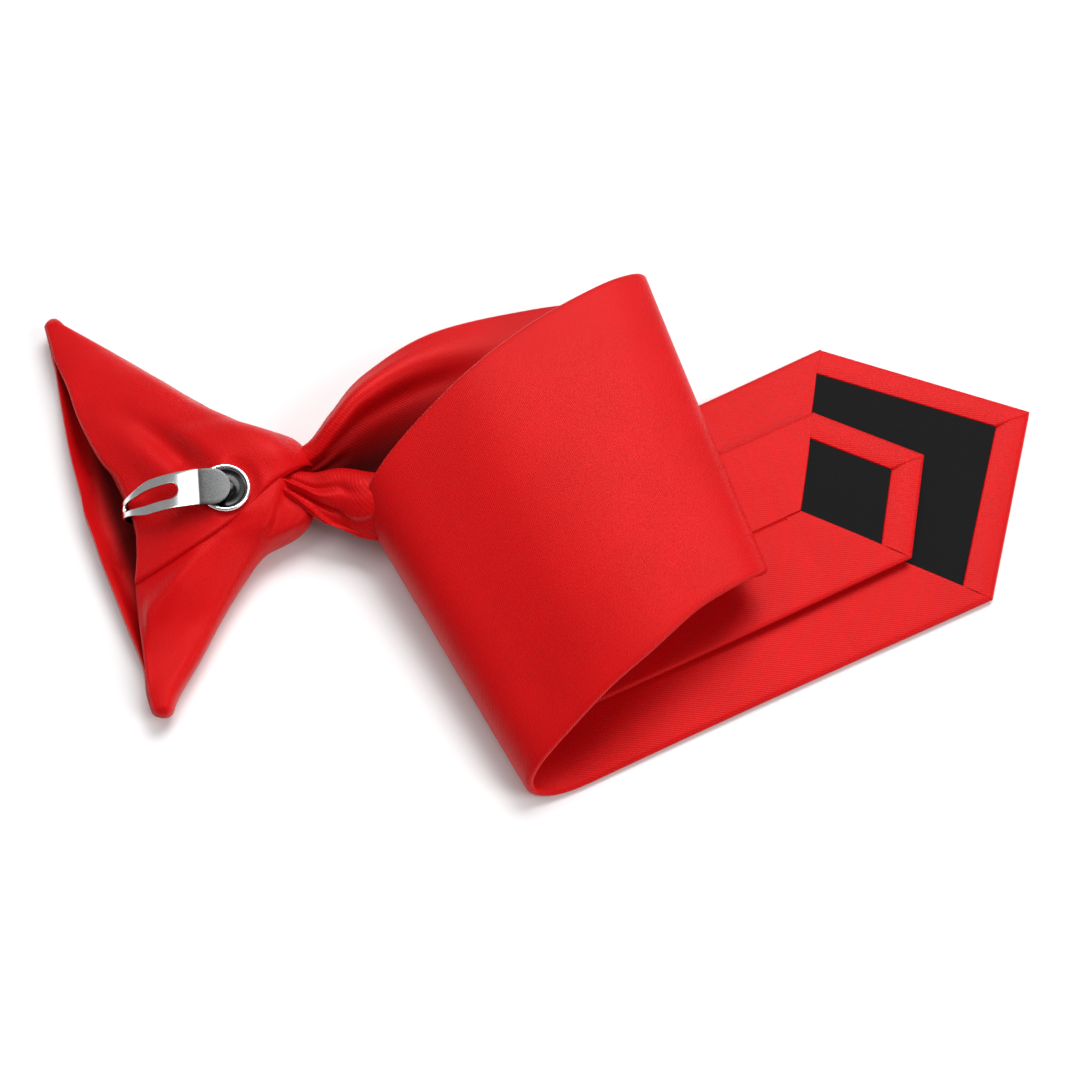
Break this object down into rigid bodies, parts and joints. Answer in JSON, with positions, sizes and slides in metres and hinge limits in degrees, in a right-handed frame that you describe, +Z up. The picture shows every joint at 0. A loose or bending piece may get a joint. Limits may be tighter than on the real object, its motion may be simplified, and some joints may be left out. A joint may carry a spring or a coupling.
{
  "type": "clip-on necktie",
  "caption": "Pre-tied clip-on necktie lying in a loose loop: winged knot with a spring steel collar clip, wide blade, narrow tail blade and black tipping.",
  "frame": {"origin": "middle of the tie's outline, on the surface that it lies on", "axes": "+X from the knot to the tip of the blades, +Z up, with the knot's back and the collar clip facing up"},
  "size_m": [0.2568, 0.1366, 0.0266],
  "materials": {
    "satin": "red woven satin with a fine grain and a soft sheen",
    "tipping": "matte black twill with fine diagonal ribs",
    "clip_steel": "bright polished plate on spring steel"
  },
  "bodies": {
    "root": {"wide_blade": "satin", "wide_tipping": "tipping", "tail_blade": "satin", "tail_tipping": "tipping", "knot_wrap": "satin", "clip_spring": "clip_steel", "clip_disc": "clip_steel"}
  },
  "joints": []
}
